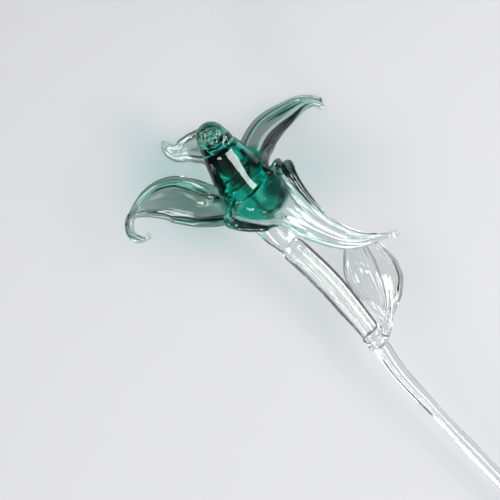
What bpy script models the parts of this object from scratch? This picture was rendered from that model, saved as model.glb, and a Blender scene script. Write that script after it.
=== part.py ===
"""A flame-worked glass flower, laid down: teal bud, four pulled petals, clear stem and leaf.

Lengths are in millimetres and become metres in add_object. Points are measured from the heart of the
flower, which is the centre of the bud's round base: +X towards the bloom, +Y to its left, +Z up.
lay_down then moves the whole flower so that it rests on z = 0, centred on the origin.
"""

from math import asin, pi, radians

import bmesh
import bpy
import numpy as np
from mathutils import Vector

MM = 0.001
GAP = 0.3                     # clearance left where two pieces of glass are fused

BUD_AXIS = (26.5, -2.0, 9.9)  # from the middle of the base to the middle of the domed tip
BUD_BASE_RADIUS = 13.0
BUD_TIP_RADIUS = 6.3
BUD_SIDES = 24
ARC_STEPS = 8                 # rings along each of the bud's two round ends
POLE_ANGLE = radians(8)       # the last ring of a round end, measured from its pole

# The deep teal core that the bud encases: distance along the bud's axis, half width, and how flat its sides
# are, from 0 for round to 1. Its tail fills a pocket that is open at the bud's base, where the stem begins.
CORE = [
    (-12.2, 2.2, 0.0), (2.0, 2.4, 0.0), (7.5, 6.2, 1.0), (14.0, 5.4, 1.0), (21.0, 4.3, 1.0), (22.3, 3.4, 1.0),
]
CORE_FLATS = 5
CORE_SIDES = 20               # four to each flat
CORE_START = radians(-22.5)   # where the first corner stands, between two of the bud's own edges
POCKET_GAP = 0.45             # a little wider than GAP, as the core's faces and the pocket's cross at corners
POCKET_OPENING = 4.0          # how far the pocket's cutter reaches out past the core's tail

RIM_STEPS = 4                 # facets round each rim bead
PAD_STEPS = 4                 # facets across the pad between the beads
RING_STEPS = 3                # rings between two rows of a piece's table
ROD_SIDES = 14
FILLET_REACH = 1.2            # how far a bead swells the pad beside it, in bead radii
MOST_RIM = 0.97               # a bead's largest radius, as a share of the half width
CURVE_POINTS = 40             # points worked out along a curve for each point of its table
TANGENT_STEP = 0.25           # half the distance over which a curve's direction is measured
BEND_POINTS = 81              # points at which a bent section's turn is summed

# The stem runs from inside the bud's base to its rounded end, sloping down to the surface.
STEM_ROUTE = [
    (-4.3, 1.6, -2.0), (-13.0, 2.5, -4.0), (-20.4, 2.5, -5.0), (-26.3, 1.7, -5.3), (-33.0, 0.7, -5.6),
    (-47.6, -0.8, -7.0), (-63.2, -1.0, -9.0), (-78.5, -0.7, -10.3), (-94.0, 0.8, -12.0),
    (-113.3, -0.1, -14.0), (-136.0, -1.3, -16.5), (-190.0, -4.6, -23.0), (-283.8, -8.5, -34.3),
]

# Rows of a stem piece: distance along the route, half width, half height.
COLLAR = [(1.0, 7.0, 7.0), (9.0, 6.2, 6.0), (15.0, 5.4, 4.6), (19.0, 4.6, 3.8), (21.7, 3.8, 3.4)]
STEM_UPPER = [
    (22.0, 4.2, 3.6), (25.0, 5.2, 3.9), (38.0, 5.3, 3.9), (54.0, 5.1, 3.7), (64.0, 4.6, 3.4),
    (70.2, 4.2, 3.1),
]
JOINT = [(70.5, 4.2, 3.3), (72.2, 4.9, 3.9), (74.0, 4.2, 3.4), (75.8, 4.7, 3.9), (77.7, 3.6, 3.2)]
STEM_LOWER = [
    (78.0, 3.6, 3.2), (87.0, 3.3, 3.1), (99.0, 3.1, 2.9), (119.0, 2.6, 2.6), (138.0, 3.0, 2.9),
    (160.0, 3.0, 3.0), (270.0, 3.0, 3.0), (278.0, 2.95, 2.95), (280.2, 2.1, 2.1), (281.0, 0.8, 0.8),
]

# The upper petal's right rim is drawn forward over the bud's flank and turns back in a U.
RIM_FOLD = {
    "route": [
        (9.9, -19.7, -13.0), (8.9, -17.4, -8.5), (8.0, -15.3, -3.0), (6.8, -13.4, 3.5), (5.0, -11.5, 9.5),
        (2.8, -10.3, 13.3), (0.6, -10.5, 15.4), (-0.3, -12.3, 16.3),
    ],
    "rows": [
        (0.0, 1.0, 1.0), (1.0, 1.6, 1.6), (8.0, 1.8, 1.8), (18.0, 1.7, 1.7), (26.0, 1.5, 1.5),
        (31.5, 1.2, 1.2), (32.5, 0.5, 0.5),
    ],
}
# The front petal's right rim starts in a thick rounded roll that thins down along the margin.
RIM_ROLL = {
    "route": [
        (0.1, -18.0, 14.6), (-2.1, -17.2, 16.6), (-5.1, -16.4, 18.2), (-9.0, -15.8, 18.6),
        (-13.8, -15.5, 18.4), (-19.2, -15.6, 17.3), (-25.3, -16.3, 15.1),
    ],
    "rows": [
        (0.1, 0.8, 0.8), (0.9, 1.8, 1.8), (3.1, 2.4, 2.4), (7.0, 2.0, 2.0), (12.0, 1.6, 1.6),
        (20.0, 1.2, 1.2), (26.0, 0.8, 0.8), (27.0, 0.4, 0.4),
    ],
}

# A petal or leaf has a midrib, the direction in which its width runs (by fraction of its length), and rows:
# fraction of length, half width, rim radius, pad half thickness, cup, right curl, left curl.
# The cup bends the section like a gutter and a curl rolls one margin up, both in radians at the margin.
PETAL_FRONT = {
    "midrib": [
        (3.8, 0.4, 5.2), (-0.3, -0.4, 12.1), (-4.0, -2.4, 16.0), (-7.9, -4.3, 18.0), (-12.1, -6.4, 18.5),
        (-17.1, -7.9, 18.0), (-23.0, -9.3, 16.5), (-29.2, -11.6, 14.0), (-36.8, -15.7, 11.0),
        (-42.4, -20.8, 9.5), (-46.2, -27.5, 8.5), (-50.3, -34.4, 8.5),
    ],
    "across": [(0.0, 0.11, -0.98, -0.15), (0.15, 0.12, -0.98, -0.10), (0.3, 0.39, -0.92, 0.0),
               (0.6, 0.62, -0.78, 0.10), (1.0, 0.68, -0.71, 0.20)],
    "rows": [
        (0.00, 7.8, 1.2, 1.0, -0.50, 0.3, 0.3), (0.06, 13.0, 1.6, 1.0, -0.50, 0.7, 0.5),
        (0.12, 17.4, 1.8, 0.9, -0.45, 1.0, 0.8), (0.20, 15.6, 1.7, 0.9, -0.40, 0.8, 0.6),
        (0.28, 12.4, 1.5, 0.8, -0.10, 0.4, 0.3), (0.36, 8.8, 1.3, 0.7, 0.10, 0.1, 0.0),
        (0.50, 6.7, 1.1, 0.6, 0.30, 0.0, 0.0), (0.74, 4.1, 1.0, 0.6, 0.30, 0.0, 0.0),
        (0.87, 1.8, 0.9, 0.7, 0.20, 0.0, 0.0), (0.94, 0.95, 0.9, 0.9, 0.0, 0.0, 0.0),
        (0.985, 1.4, 1.35, 1.35, 0.0, 0.0, 0.0), (1.00, 0.4, 0.38, 0.38, 0.0, 0.0, 0.0),
    ],
}
PETAL_LEFT = {
    "midrib": [
        (-0.8, 6.5, 0.0), (1.8, 11.5, 3.0), (5.4, 15.7, 7.0), (9.4, 19.3, 10.0), (13.8, 22.8, 11.5),
        (18.3, 27.2, 12.0), (21.3, 32.3, 11.0), (23.0, 37.8, 9.0), (23.2, 42.4, 6.5), (20.8, 45.7, 4.0),
        (17.3, 47.0, 2.0), (14.2, 45.3, 1.0), (13.0, 40.8, 1.0),
    ],
    "across": [(0.0, 0.70, -0.66, 0.29), (0.3, 0.76, -0.58, 0.29), (0.6, 0.81, -0.45, 0.37),
               (0.75, 0.89, 0.07, 0.45), (1.0, 0.0, 0.0, 1.0)],
    "rows": [
        (0.00, 6.0, 1.6, 1.2, 0.3, 0.2, 0.4), (0.10, 7.8, 1.7, 0.8, 0.4, 0.2, 0.5),
        (0.20, 8.8, 1.7, 0.7, 0.5, 0.3, 0.6), (0.30, 9.8, 1.7, 0.7, 0.5, 0.3, 0.6),
        (0.42, 10.2, 1.6, 0.7, 0.5, 0.3, 0.5), (0.50, 8.9, 1.5, 0.7, 0.5, 0.3, 0.4),
        (0.58, 6.6, 1.4, 0.8, 0.4, 0.2, 0.3), (0.66, 3.7, 1.3, 1.0, 0.2, 0.0, 0.1),
        (0.73, 1.8, 1.3, 1.2, 0.0, 0.0, 0.0), (0.91, 1.9, 1.8, 1.7, 0.0, 0.0, 0.0),
        (0.955, 1.3, 1.3, 1.3, 0.0, 0.0, 0.0), (0.98, 1.5, 1.45, 1.45, 0.0, 0.0, 0.0),
        (1.00, 0.4, 0.38, 0.38, 0.0, 0.0, 0.0),
    ],
}
PETAL_UPPER = {
    "midrib": [
        (3.1, -3.2, -1.0), (8.0, -6.7, -5.2), (12.9, -11.9, -9.4), (16.3, -18.4, -15.4),
        (17.9, -26.3, -22.2), (17.5, -34.8, -28.0), (16.4, -42.1, -32.3), (13.7, -46.6, -34.5),
        (9.0, -49.3, -35.6),
    ],
    "across": [(0.0, -0.63, -0.57, 0.53), (0.3, -0.69, -0.50, 0.52), (0.6, -0.88, 0.0, 0.48),
               (0.85, -0.89, 0.26, 0.38), (1.0, -0.9, 0.3, 0.3)],
    "rows": [
        (0.00, 6.0, 1.4, 1.2, 0.4, 0.7, 0.0), (0.15, 7.2, 1.4, 0.9, 0.5, 0.9, 0.0),
        (0.30, 8.0, 1.4, 0.8, 0.6, 1.0, 0.0), (0.45, 7.8, 1.3, 0.7, 0.7, 1.1, 0.0),
        (0.60, 6.8, 1.2, 0.6, 0.8, 0.9, 0.0), (0.75, 5.0, 1.1, 0.6, 0.9, 0.7, 0.0),
        (0.88, 3.2, 0.9, 0.5, 0.9, 0.5, 0.0), (0.94, 2.4, 0.8, 0.5, 0.7, 0.4, 0.0),
        (0.98, 2.5, 0.7, 0.5, 0.6, 0.4, 0.0), (1.00, 1.8, 0.4, 0.3, 0.6, 0.4, 0.0),
    ],
}
PETAL_BACK = {
    "midrib": [
        (5.0, 3.5, -6.0), (12.3, 3.2, -14.0), (21.6, 1.9, -22.5), (28.4, 2.2, -28.5), (31.0, 5.3, -31.7),
        (32.6, 8.3, -33.5), (33.9, 11.7, -34.5), (36.3, 13.6, -35.0), (39.1, 14.0, -35.0),
        (41.8, 13.6, -34.0),
    ],
    "across": [(0.0, 0.22, -0.88, 0.42), (0.5, 0.55, -0.73, 0.40), (0.85, 0.75, -0.63, 0.20),
               (1.0, 0.08, -0.97, 0.23)],
    "rows": [
        (0.00, 4.0, 1.3, 1.0, 0.6, 0.0, 0.3), (0.20, 5.4, 1.2, 0.8, 0.7, 0.0, 0.3),
        (0.45, 8.2, 1.1, 0.7, 0.8, 0.0, 0.2), (0.58, 8.4, 1.0, 0.6, 0.7, 0.0, 0.1),
        (0.70, 7.0, 1.0, 0.6, 0.6, 0.0, 0.0), (0.80, 4.9, 0.9, 0.6, 0.5, 0.0, 0.0),
        (0.88, 3.4, 0.8, 0.6, 0.4, 0.0, 0.0), (0.95, 2.0, 0.7, 0.6, 0.3, 0.0, 0.0),
        (1.00, 0.4, 0.38, 0.38, 0.0, 0.0, 0.0),
    ],
}
LEAF = {
    "midrib": [
        (-79.6, -3.6, -9.8), (-76.2, -7.6, -8.8), (-71.3, -11.0, -8.0), (-66.0, -14.2, -7.2),
        (-59.0, -17.2, -7.0), (-52.0, -20.0, -9.0), (-45.1, -21.8, -13.0), (-40.3, -23.0, -17.0),
    ],
    "across": [(0.0, -0.57, -0.82, 0.0), (0.5, -0.78, -0.62, -0.10), (1.0, -0.88, -0.47, 0.0)],
    "rows": [
        (0.00, 2.0, 1.8, 1.6, 0.2, 0.0, 0.0), (0.10, 2.2, 1.6, 1.3, 0.2, 0.0, 0.0),
        (0.20, 3.4, 1.4, 1.1, 0.2, 0.1, 0.0), (0.35, 8.4, 1.2, 0.8, 0.3, 0.4, 0.0),
        (0.50, 12.2, 1.1, 0.7, 0.3, 0.5, 0.0), (0.63, 12.8, 1.1, 0.7, 0.3, 0.4, 0.0),
        (0.78, 10.9, 1.0, 0.7, 0.2, 0.2, 0.0), (0.90, 7.4, 1.0, 0.6, 0.2, 0.0, 0.0),
        (0.97, 3.5, 0.8, 0.6, 0.2, 0.0, 0.0), (1.00, 0.6, 0.5, 0.5, 0.0, 0.0, 0.0),
    ],
}

# Glass colours: base colour, roughness.
TEAL_GLASS = ((0.02, 0.42, 0.34), 0.03)
DEEP_TEAL_GLASS = ((0.001, 0.05, 0.04), 0.03)
PALE_TEAL_GLASS = ((0.45, 0.78, 0.70), 0.03)
CLEAR_GLASS = ((0.93, 0.96, 0.95), 0.03)
GLASS_IOR = 1.5


def clear_scene():
    """Remove everything that the scene starts with."""
    for thing in list(bpy.data.objects):
        bpy.data.objects.remove(thing, do_unlink=True)


def glass(name, finish):
    """A clear or tinted glass: transmissive Principled BSDF."""
    colour, roughness = finish
    material = bpy.data.materials.new(name)
    material.use_nodes = True
    shader = material.node_tree.nodes["Principled BSDF"]
    shader.inputs["Base Color"].default_value = (*colour, 1.0)
    shader.inputs["Roughness"].default_value = roughness
    shader.inputs["Metallic"].default_value = 0.0
    shader.inputs["Transmission Weight"].default_value = 1.0
    shader.inputs["IOR"].default_value = GLASS_IOR
    return material


def add_object(name, rings, finish=None):
    """Skin rings of points in mm into one closed object. A guide has no finish and stays hidden."""
    shape = bmesh.new()
    loops = [[shape.verts.new(Vector(point) * MM) for point in ring] for ring in rings]
    sides = len(loops[0])
    for low, high in zip(loops, loops[1:]):
        for i in range(sides):
            j = (i + 1) % sides
            shape.faces.new((low[i], low[j], high[j], high[i]))
    for loop in (loops[0], loops[-1]):
        middle = sum((vert.co for vert in loop), Vector()) / sides
        pole = shape.verts.new(middle)
        for i in range(sides):
            shape.faces.new((loop[i], loop[(i + 1) % sides], pole))
    bmesh.ops.recalc_face_normals(shape, faces=shape.faces)
    mesh = bpy.data.meshes.new(name)
    shape.to_mesh(mesh)
    shape.free()
    mesh.shade_smooth()
    thing = bpy.data.objects.new(name, mesh)
    bpy.context.scene.collection.objects.link(thing)
    if finish:
        mesh.materials.append(glass(name + "_glass", finish))
    else:
        thing.hide_render = True
        thing.display_type = "WIRE"
    return thing


def fuse(thing, guide, operation):
    """Take a guide's shape out of a piece with DIFFERENCE, or make it part of the piece with UNION."""
    modifier = thing.modifiers.new(operation.lower() + "_" + guide.name, "BOOLEAN")
    modifier.operation = operation
    modifier.solver = "EXACT"
    modifier.object = guide


def smooth_route(points, distances=None, fractions=None):
    """Read a Catmull-Rom curve through the points at distances along it, or at fractions of its length."""
    knots = np.asarray(points, float)
    chords = np.linalg.norm(np.diff(knots, axis=0), axis=1)
    times = np.concatenate([[0.0], np.cumsum(np.sqrt(chords))])
    slopes = np.gradient(knots, times, axis=0)
    dense = np.linspace(0.0, times[-1], CURVE_POINTS * len(knots))
    span = np.clip(np.searchsorted(times, dense, side="right") - 1, 0, len(times) - 2)
    width = (times[span + 1] - times[span])[:, None]
    u = (dense - times[span])[:, None] / width
    curve = (
        (2 * u**3 - 3 * u**2 + 1) * knots[span]
        + (u**3 - 2 * u**2 + u) * width * slopes[span]
        + (3 * u**2 - 2 * u**3) * knots[span + 1]
        + (u**3 - u**2) * width * slopes[span + 1]
    )
    run = np.concatenate([[0.0], np.cumsum(np.linalg.norm(np.diff(curve, axis=0), axis=1))])
    at = np.asarray(distances, float) if distances is not None else np.asarray(fractions) * run[-1]
    places = np.stack([np.interp(at, run, curve[:, k]) for k in range(3)], axis=1)
    ahead = np.stack([np.interp(at + TANGENT_STEP, run, curve[:, k]) for k in range(3)], axis=1)
    behind = np.stack([np.interp(at - TANGENT_STEP, run, curve[:, k]) for k in range(3)], axis=1)
    return places, unit(ahead - behind)


def unit(vectors):
    """Each row scaled to length 1."""
    return vectors / np.linalg.norm(vectors, axis=1)[:, None]


def ease(rows, at):
    """Smooth monotone curves through a table: its first column is the place, the rest are values."""
    table = np.asarray(rows, float)
    place, values = table[:, 0], table[:, 1:]
    gaps = np.diff(place)[:, None]
    rise = np.diff(values, axis=0) / gaps
    slopes = np.zeros_like(values)
    same = rise[1:] * rise[:-1] > 0
    total = np.where(same, rise[1:] + rise[:-1], 1.0)
    slopes[1:-1] = np.where(same, 2 * rise[1:] * rise[:-1] / total, 0.0)
    slopes[0], slopes[-1] = rise[0], rise[-1]
    span = np.clip(np.searchsorted(place, at, side="right") - 1, 0, len(place) - 2)
    u = ((at - place[span]) / gaps[span, 0])[:, None]
    return (
        (2 * u**3 - 3 * u**2 + 1) * values[span]
        + (u**3 - 2 * u**2 + u) * gaps[span] * slopes[span]
        + (3 * u**2 - 2 * u**3) * values[span + 1]
        + (u**3 - u**2) * gaps[span] * slopes[span + 1]
    )


def ring_places(rows):
    """The rows' own places, with RING_STEPS rings to each interval."""
    places = [row[0] for row in rows]
    finer = [np.linspace(a, b, RING_STEPS, endpoint=False) for a, b in zip(places, places[1:])]
    return np.concatenate([*finer, [places[-1]]])


def petal_section(half, rim, pad):
    """Offsets across and through one flat section: a bead on each margin and a thin pad between."""
    flat = max(half - rim, 0.0)
    turn = np.linspace(-pi / 2, pi / 2, RIM_STEPS + 1)
    inner = np.linspace(1, -1, PAD_STEPS + 1)[1:-1] * flat
    fillet = np.exp(-(((flat - np.abs(inner)) / (FILLET_REACH * rim)) ** 2))
    thick = pad + (rim - pad) * fillet
    across = np.concatenate([flat + rim * np.cos(turn), inner, -flat - rim * np.cos(turn), inner[::-1]])
    through = np.concatenate([rim * np.sin(turn), thick, -rim * np.sin(turn), -thick[::-1]])
    return across, through


def bend(across, through, half, cup, curl_right, curl_left):
    """Bend a flat section: its middle line turns by cup * x, plus curl * x**3 towards each margin."""
    fine = np.linspace(-1.0, 1.0, BEND_POINTS)
    turn = cup * fine + np.where(fine > 0, curl_right, -curl_left) * np.abs(fine) ** 3
    step = half * (fine[1] - fine[0])
    middle = len(fine) // 2
    run_across = np.cumsum(np.cos(turn)) * step
    run_up = np.cumsum(np.sin(turn)) * step
    x = across / half
    angle = np.interp(x, fine, turn)
    line_across = np.interp(x, fine, run_across - run_across[middle])
    line_up = np.interp(x, fine, run_up - run_up[middle])
    return line_across - through * np.sin(angle), line_up + through * np.cos(angle)


def petal_rings(petal):
    """Rings of a petal or leaf: its bent section carried along the midrib."""
    places = ring_places(petal["rows"])
    middle, along = smooth_route(petal["midrib"], fractions=places)
    side = ease(petal["across"], places)
    side = unit(side - np.sum(side * along, axis=1)[:, None] * along)
    up = np.cross(along, side)
    rings = []
    for i, (half, rim, pad, cup, curl_right, curl_left) in enumerate(ease(petal["rows"], places)):
        rim = min(rim, MOST_RIM * half)
        flat_across, through = petal_section(half, rim, min(pad, rim))
        offset, lift = bend(flat_across, through, half, cup, curl_right, curl_left)
        rings.append(middle[i] + offset[:, None] * side[i] + lift[:, None] * up[i])
    return rings


def rod_rings(rows, route=STEM_ROUTE, grow=0.0):
    """Rings of a rod: an oval section carried along its route."""
    places = ring_places(rows)
    if grow:
        places[0] -= grow
        places[-1] += grow
    middle, along = smooth_route(route, distances=places)
    side = unit(np.cross(along, np.array([0.0, 0.0, 1.0])))
    up = np.cross(side, along)
    turn = np.linspace(0.0, 2 * pi, ROD_SIDES, endpoint=False)
    halves = ease(rows, places) + grow
    return [
        middle[i] + wide * np.cos(turn)[:, None] * side[i] + high * np.sin(turn)[:, None] * up[i]
        for i, (wide, high) in enumerate(halves)
    ]


def bud_circle(sides, start=0.0):
    """The bud's axis, its length, and points of a unit circle square to it, with their angles."""
    length = np.linalg.norm(BUD_AXIS)
    axis = np.array(BUD_AXIS) / length
    first = np.cross(axis, [0.0, 0.0, 1.0])
    first = first / np.linalg.norm(first)
    second = np.cross(axis, first)
    turn = np.linspace(0.0, 2 * pi, sides, endpoint=False)
    circle = np.cos(turn + start)[:, None] * first + np.sin(turn + start)[:, None] * second
    return axis, length, circle, turn


def bud_rings(grow=0.0):
    """Rings of the bud: a cone running into a large ball at its base and a small one at its tip."""
    axis, length, circle, _ = bud_circle(BUD_SIDES)
    lean = asin((BUD_BASE_RADIUS - BUD_TIP_RADIUS) / length)
    base, tip = BUD_BASE_RADIUS + grow, BUD_TIP_RADIUS + grow
    base_arc = np.linspace(-pi / 2 + POLE_ANGLE, lean, ARC_STEPS)
    tip_arc = np.linspace(lean, pi / 2 - POLE_ANGLE, ARC_STEPS)
    rises = np.concatenate([base * np.sin(base_arc), length + tip * np.sin(tip_arc)])
    radii = np.concatenate([base * np.cos(base_arc), tip * np.cos(tip_arc)])
    return [axis * rise + radius * circle for rise, radius in zip(rises, radii)]


def core_rings(grow=0.0, tail=0.0):
    """Rings of the bud's core. On a flat side, the radius goes with one over the cosine of the angle to
    the side's middle."""
    axis, _, circle, turn = bud_circle(CORE_SIDES, CORE_START)
    rises = ring_places(CORE)
    half = pi / CORE_FLATS
    flat = np.cos(half) / np.cos(turn % (2 * half) - half)
    wide, flatness = ease(CORE, rises).T
    steep = np.sqrt(1 + np.gradient(wide, rises) ** 2)  # keeps a grown core's gap even where it widens
    rises[0] -= tail
    rises[-1] += grow
    return [
        axis * rises[i] + (wide[i] * (1 + flatness[i] * (flat - 1)) + grow * steep[i])[:, None] * circle
        for i in range(len(rises))
    ]


def lay_down(pieces, guides):
    """Hang everything on one empty and set it so that the flower rests on z = 0, centred on the origin."""
    flower = bpy.data.objects.new("flower", None)
    bpy.context.scene.collection.objects.link(flower)
    for thing in pieces + guides:
        thing.parent = flower
    bpy.context.view_layer.update()
    depsgraph = bpy.context.evaluated_depsgraph_get()
    corners = []
    for piece in pieces:
        shown = piece.evaluated_get(depsgraph)
        corners += [shown.matrix_world @ vert.co for vert in shown.data.vertices]
    points = np.array(corners)
    low, high = points.min(axis=0), points.max(axis=0)
    flower.location = (-(low[0] + high[0]) / 2, -(low[1] + high[1]) / 2, -low[2])


def main():
    clear_scene()
    bud = add_object("bud", bud_rings(), TEAL_GLASS)
    core = add_object("bud_core", core_rings(), DEEP_TEAL_GLASS)
    bud_seat = add_object("bud_seat", bud_rings(GAP))
    core_seat = add_object("core_seat", core_rings(POCKET_GAP, POCKET_OPENING))
    joint_seat = add_object("joint_seat", rod_rings(JOINT, grow=GAP))
    stem_seat = add_object("stem_seat", rod_rings(STEM_UPPER, grow=GAP))
    rim_fold = add_object("rim_fold", rod_rings(RIM_FOLD["rows"], RIM_FOLD["route"]))
    rim_roll = add_object("rim_roll", rod_rings(RIM_ROLL["rows"], RIM_ROLL["route"]))
    fuse(bud, core_seat, "DIFFERENCE")

    front = add_object("petal_front", petal_rings(PETAL_FRONT), PALE_TEAL_GLASS)
    left = add_object("petal_left", petal_rings(PETAL_LEFT), PALE_TEAL_GLASS)
    upper = add_object("petal_upper", petal_rings(PETAL_UPPER), PALE_TEAL_GLASS)
    back = add_object("petal_back", petal_rings(PETAL_BACK), CLEAR_GLASS)
    collar = add_object("collar", rod_rings(COLLAR), CLEAR_GLASS)
    fuse(front, rim_roll, "UNION")
    fuse(upper, rim_fold, "UNION")
    for piece in (front, left, upper, back, collar):
        fuse(piece, bud_seat, "DIFFERENCE")

    stem_upper = add_object("stem_upper", rod_rings(STEM_UPPER), CLEAR_GLASS)
    joint = add_object("joint", rod_rings(JOINT), CLEAR_GLASS)
    stem_lower = add_object("stem_lower", rod_rings(STEM_LOWER), CLEAR_GLASS)
    leaf = add_object("leaf", petal_rings(LEAF), CLEAR_GLASS)
    fuse(leaf, joint_seat, "DIFFERENCE")
    fuse(leaf, stem_seat, "DIFFERENCE")

    pieces = [bud, core, front, left, upper, back, collar, stem_upper, joint, leaf, stem_lower]
    guides = [bud_seat, core_seat, joint_seat, stem_seat, rim_fold, rim_roll]
    lay_down(pieces, guides)


main()
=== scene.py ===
# A flame-worked glass flower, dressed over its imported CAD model.
# The tables are in millimetres from the heart of the flower, which is the centre of the bud's round base:
# +X runs to the bloom, +Y to its left and +Z up. placeInFrame moves the shapes onto the CAD model.
import bpy
import numpy as np
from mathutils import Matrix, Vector


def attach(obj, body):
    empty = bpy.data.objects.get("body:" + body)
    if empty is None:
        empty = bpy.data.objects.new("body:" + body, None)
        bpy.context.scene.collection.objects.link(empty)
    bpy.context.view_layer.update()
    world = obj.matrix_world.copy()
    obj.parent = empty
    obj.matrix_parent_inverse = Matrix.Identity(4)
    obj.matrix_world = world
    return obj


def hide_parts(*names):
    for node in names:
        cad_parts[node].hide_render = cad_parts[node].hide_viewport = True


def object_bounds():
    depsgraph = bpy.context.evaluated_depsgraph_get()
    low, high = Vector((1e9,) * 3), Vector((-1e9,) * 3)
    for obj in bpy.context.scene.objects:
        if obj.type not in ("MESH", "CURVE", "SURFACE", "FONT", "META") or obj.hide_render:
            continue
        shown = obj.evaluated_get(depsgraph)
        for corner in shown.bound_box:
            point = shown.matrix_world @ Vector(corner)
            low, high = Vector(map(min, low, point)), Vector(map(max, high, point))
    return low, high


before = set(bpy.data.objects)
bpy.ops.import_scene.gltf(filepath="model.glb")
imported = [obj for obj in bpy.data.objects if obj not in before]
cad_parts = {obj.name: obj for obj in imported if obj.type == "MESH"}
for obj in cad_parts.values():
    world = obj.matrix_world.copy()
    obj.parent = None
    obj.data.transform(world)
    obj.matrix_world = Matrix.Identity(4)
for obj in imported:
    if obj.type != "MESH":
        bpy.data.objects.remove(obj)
cadBox = [list(corner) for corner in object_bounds()]
mm = 0.001
poleShare = 0.001  # a closed end keeps this share of its section, so that no two points fall together
print("frame of", len(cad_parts), "CAD nodes in the box", cadBox)


# A smooth curve through points. It is a cubic Hermite spline whose slopes are central differences, with
# knots spaced by the square root of each chord. Read at fractions of its length, or at distances along
# it. It gives the places there, the directions and the whole length.
def curveThrough(points, at, asFraction=True, pointsPerKnot=60):
    knots = np.asarray(points, float)
    times = np.concatenate([[0.0], np.cumsum(np.sqrt(np.linalg.norm(np.diff(knots, axis=0), axis=1)))])
    slopes = np.gradient(knots, times, axis=0)
    dense = np.linspace(0.0, times[-1], pointsPerKnot * len(knots))
    span = np.clip(np.searchsorted(times, dense, side="right") - 1, 0, len(times) - 2)
    width = (times[span + 1] - times[span])[:, None]
    u = (dense - times[span])[:, None] / width
    curve = ((2 * u**3 - 3 * u**2 + 1) * knots[span] + (u**3 - 2 * u**2 + u) * width * slopes[span]
             + (3 * u**2 - 2 * u**3) * knots[span + 1] + (u**3 - u**2) * width * slopes[span + 1])
    run = np.concatenate([[0.0], np.cumsum(np.linalg.norm(np.diff(curve, axis=0), axis=1))])
    places = np.asarray(at, float) * (run[-1] if asFraction else 1.0)
    step = 0.4  # mm to each side, over which the direction is taken
    before, here, after = [np.stack([np.interp(places + away, run, curve[:, k]) for k in range(3)], axis=1)
                           for away in (-step, 0.0, step)]
    return here, unit(after - before), run[-1]


# Each row divided by its own length.
def unit(vectors):
    return vectors / np.linalg.norm(vectors, axis=-1, keepdims=True)


# Smooth monotone curves through a table. The first column is the place. They are cubic, and the slope at a
# row is the harmonic mean of the slopes on its two sides, or 0 where those differ in sign.
def easeRows(rows, at):
    table = np.asarray(rows, float)
    place, values = table[:, 0], table[:, 1:]
    gaps = np.diff(place)[:, None]
    rise = np.diff(values, axis=0) / gaps
    same = rise[1:] * rise[:-1] > 0
    slopes = np.zeros_like(values)
    slopes[1:-1] = np.where(same, 2 * rise[1:] * rise[:-1] / np.where(same, rise[1:] + rise[:-1], 1.0), 0.0)
    slopes[0], slopes[-1] = rise[0], rise[-1]
    span = np.clip(np.searchsorted(place, at, side="right") - 1, 0, len(place) - 2)
    u = ((at - place[span]) / gaps[span, 0])[:, None]
    return ((2 * u**3 - 3 * u**2 + 1) * values[span] + (u**3 - 2 * u**2 + u) * gaps[span] * slopes[span]
            + (3 * u**2 - 2 * u**3) * values[span + 1] + (u**3 - u**2) * gaps[span] * slopes[span + 1])


# How open a rounded end is, as a quarter circle: the pole's share at the end, and 1 from its radius on.
def roundEnd(gap):
    return np.sqrt(1 - (1 - np.clip(gap, 0.0, 1.0)) ** 2) * (1 - poleShare) + poleShare


# A bell of height 1: e to the minus square of the distance from the middle over the width.
def bell(x, middle, width):
    return np.exp(-(((x - middle) / width) ** 2))


# 0 below low, 1 above high, with a smooth cubic between.
def smoothStep(x, low, high):
    t = np.clip((x - low) / (high - low), 0.0, 1.0)
    return t * t * (3 - 2 * t)


# These hold for every blade. The first four are shares of the blade's length.
bladeMaking = {
    "ribsGrowOver": (0.02, 0.15), "ribsFadeOver": (0.02, 0.20),  # from the root, and back from the tip
    "ribEnd": 0.1,  # over which one rib starts and stops
    "forkFrom": 0.90,  # from here on the notches draw the tip back
    "mostRim": 0.97,  # a bead is never wider than this share of its half of the section
    "beadReach": 1.2,  # how far a bead swells the pad beside it, in half widths of the bead
}


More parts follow.
